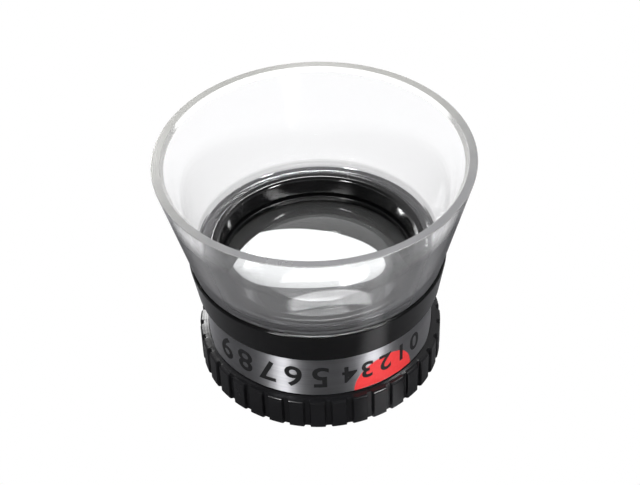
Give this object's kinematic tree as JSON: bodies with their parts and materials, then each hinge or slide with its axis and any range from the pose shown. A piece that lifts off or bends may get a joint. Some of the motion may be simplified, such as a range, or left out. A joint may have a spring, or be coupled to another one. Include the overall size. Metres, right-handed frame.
{
  "type": "watchmaker eye loupe",
  "caption": "Eye loupe for watch work: a clear conical eye cup on a black barrel with a high-power lens pair and a knurled ring that unscrews to free the lenses.",
  "frame": {"origin": "centre of the knurled ring's lower face, on which the loupe stands", "axes": "+Z along the optical axis towards the eye, -Y towards the middle of the label"},
  "size_m": [0.036, 0.036, 0.0285],
  "materials": {
    "black_gloss": "injection-moulded black ABS with a polished skin",
    "black_matt": "matt black, to stop glare between the lenses",
    "clear_acrylic": "clear moulded acrylic, polished",
    "lens_glass": "polished optical glass",
    "silver_foil": "brushed silver foil label with plain printed marks",
    "black_rubber": "soft black rubber"
  },
  "bodies": {
    "housing": {"barrel": "black_gloss", "label_band": "silver_foil", "eye_cup": "clear_acrylic", "cup_ring": "black_gloss"},
    "lens_stack": {"eye_lens": "lens_glass", "lens_spacer": "black_matt", "objective_lens": "lens_glass", "lens_cushion": "black_rubber"},
    "lower_ring": {"knurled_ring": "black_gloss"}
  },
  "joints": [
    {"name": "ring_travel", "type": "slide", "parent": "housing", "child": "lens_stack", "axis": [0, 0, -1], "range_m": [0, 0.00263]},
    {"name": "ring_turn", "type": "hinge", "parent": "lens_stack", "child": "lower_ring", "pos_m": [0, 0, 0], "axis": [0, 0, -1], "range_deg": [0, 1260]}
  ],
  "couplings": [
    {"joint": "ring_travel", "follows": "ring_turn", "m_per_rad": 0.00011937}
  ]
}
